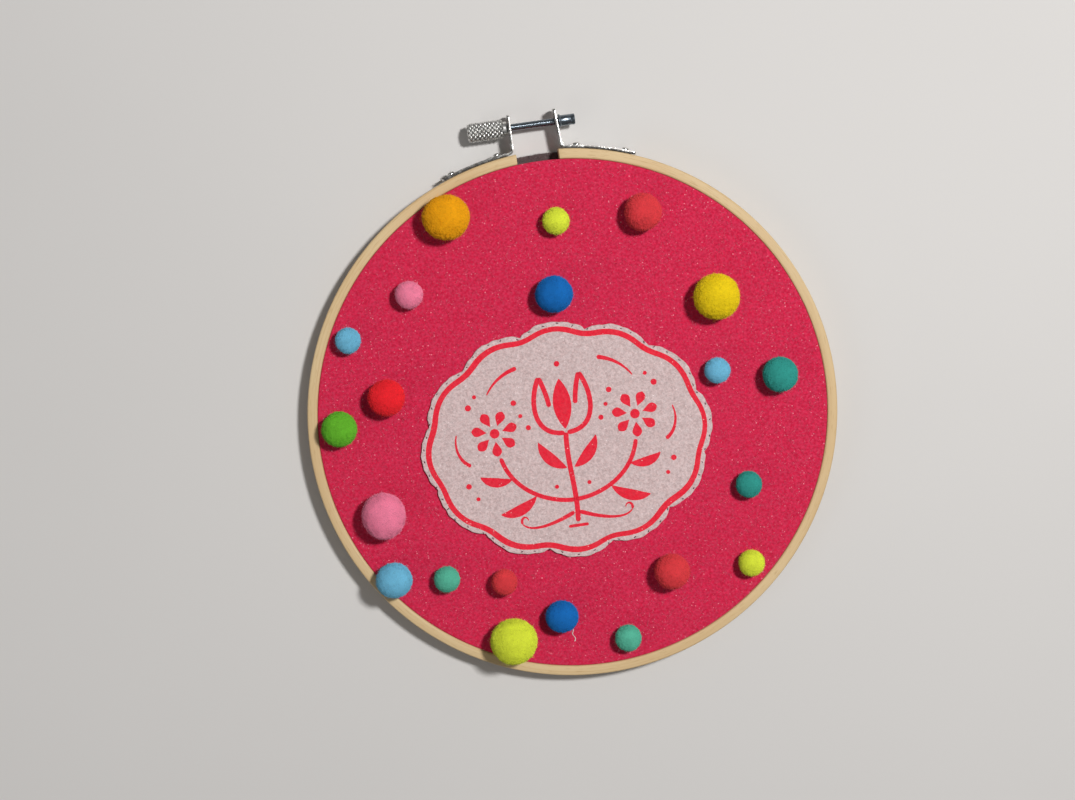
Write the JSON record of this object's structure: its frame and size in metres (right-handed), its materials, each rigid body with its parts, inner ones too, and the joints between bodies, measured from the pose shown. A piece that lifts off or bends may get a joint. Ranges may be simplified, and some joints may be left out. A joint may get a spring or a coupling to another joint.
{
  "type": "felt applique embroidery art in a wooden embroidery hoop",
  "caption": "Round wooden embroidery hoop with a felt picture: a pale scalloped patch with a stitched edge, bright pompoms, a clamping screw and a felt backing.",
  "frame": {"origin": "centre of the hoop on the back face of the backing felt, where it rests", "axes": "+Z out of the picture side, +Y from the hoop's centre to the gap in its outer ring and the screw, +X along the screw from its knurled head to its bush"},
  "size_m": [0.21, 0.2253, 0.0287],
  "materials": {
    "wood": "sanded bamboo, satin, fine grain along the ring",
    "picture_felt": "short-fibred craft felt",
    "patch_felt": "short-fibred craft felt with a printed line",
    "backing_felt": "short-fibred craft felt",
    "nickel": "bright nickel plate",
    "zinc": "bluish zinc plate",
    "wool_orange": "trimmed acrylic yarn",
    "wool_lime": "trimmed acrylic yarn",
    "wool_coral": "trimmed acrylic yarn",
    "wool_pink": "trimmed acrylic yarn",
    "wool_blue": "trimmed acrylic yarn",
    "wool_yellow": "trimmed acrylic yarn",
    "wool_sky": "trimmed acrylic yarn",
    "wool_teal": "trimmed acrylic yarn",
    "wool_red": "trimmed acrylic yarn",
    "wool_green": "trimmed acrylic yarn",
    "wool_mint": "trimmed acrylic yarn"
  },
  "bodies": {
    "hoop": {"backing": "backing_felt", "bush": "zinc", "clamp_left": "nickel", "clamp_right": "nickel", "inner_ring": "wood", "outer_ring": "wood", "patch": "patch_felt", "picture_felt": "picture_felt", "pompom_blue_low": "wool_blue", "pompom_blue_middle": "wool_blue", "pompom_coral_low": "wool_coral", "pompom_coral_small": "wool_coral", "pompom_coral_top": "wool_coral", "pompom_green": "wool_green", "pompom_lime_big": "wool_lime", "pompom_lime_small": "wool_lime", "pompom_lime_top": "wool_lime", "pompom_mint_left": "wool_mint", "pompom_mint_low": "wool_mint", "pompom_orange": "wool_orange", "pompom_pink_big": "wool_pink", "pompom_pink_small": "wool_pink", "pompom_red": "wool_red", "pompom_sky_left": "wool_sky", "pompom_sky_low": "wool_sky", "pompom_sky_right": "wool_sky", "pompom_teal_right": "wool_teal", "pompom_teal_small": "wool_teal", "pompom_yellow": "wool_yellow", "rivet_left_1": "nickel", "rivet_left_2": "nickel", "rivet_right_1": "nickel", "rivet_right_2": "nickel"},
    "screw": {"thumb_screw": "zinc"}
  },
  "joints": [
    {"name": "thumb_screw_turn", "type": "hinge", "parent": "hoop", "child": "screw", "pos_m": [0, 0.1153, 0.0065], "axis": [1, 0, 0], "continuous": true}
  ]
}
